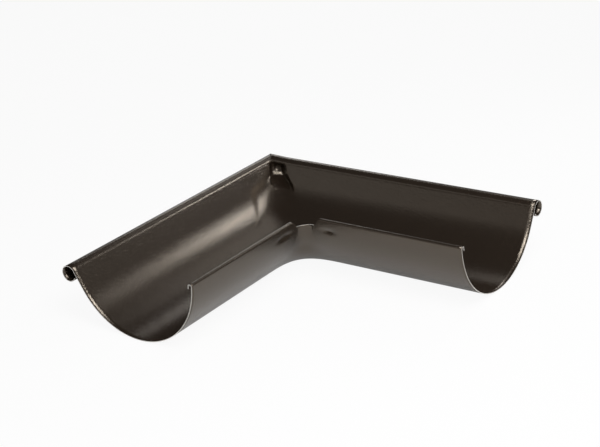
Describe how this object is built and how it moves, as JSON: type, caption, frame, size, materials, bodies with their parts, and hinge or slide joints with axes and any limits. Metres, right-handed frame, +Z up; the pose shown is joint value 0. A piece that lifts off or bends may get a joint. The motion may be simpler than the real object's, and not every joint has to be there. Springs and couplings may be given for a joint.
{
  "type": "gutter external angle",
  "caption": "Outside corner for a half-round roof gutter: open troughs meet at a right angle, with a rolled bead along the front edge and a folded hem along the rear edge.",
  "frame": {"origin": "middle of the foot print (bounding box), level with the outside of the bottom lines. The bottom lines of the arms meet at x = -0.0823 m, y = 0.0798 m, z = 0.", "axes": "+X along the slightly longer arm, towards its cut end; -Y along the other arm, towards its cut end; +Z up, as the gutter hangs"},
  "size_m": [0.3474, 0.3424, 0.0744],
  "materials": {
    "coated_steel": "dark brown coating, semi-gloss, finely grained"
  },
  "bodies": {
    "root": {"gutter_angle": "coated_steel"}
  },
  "joints": []
}
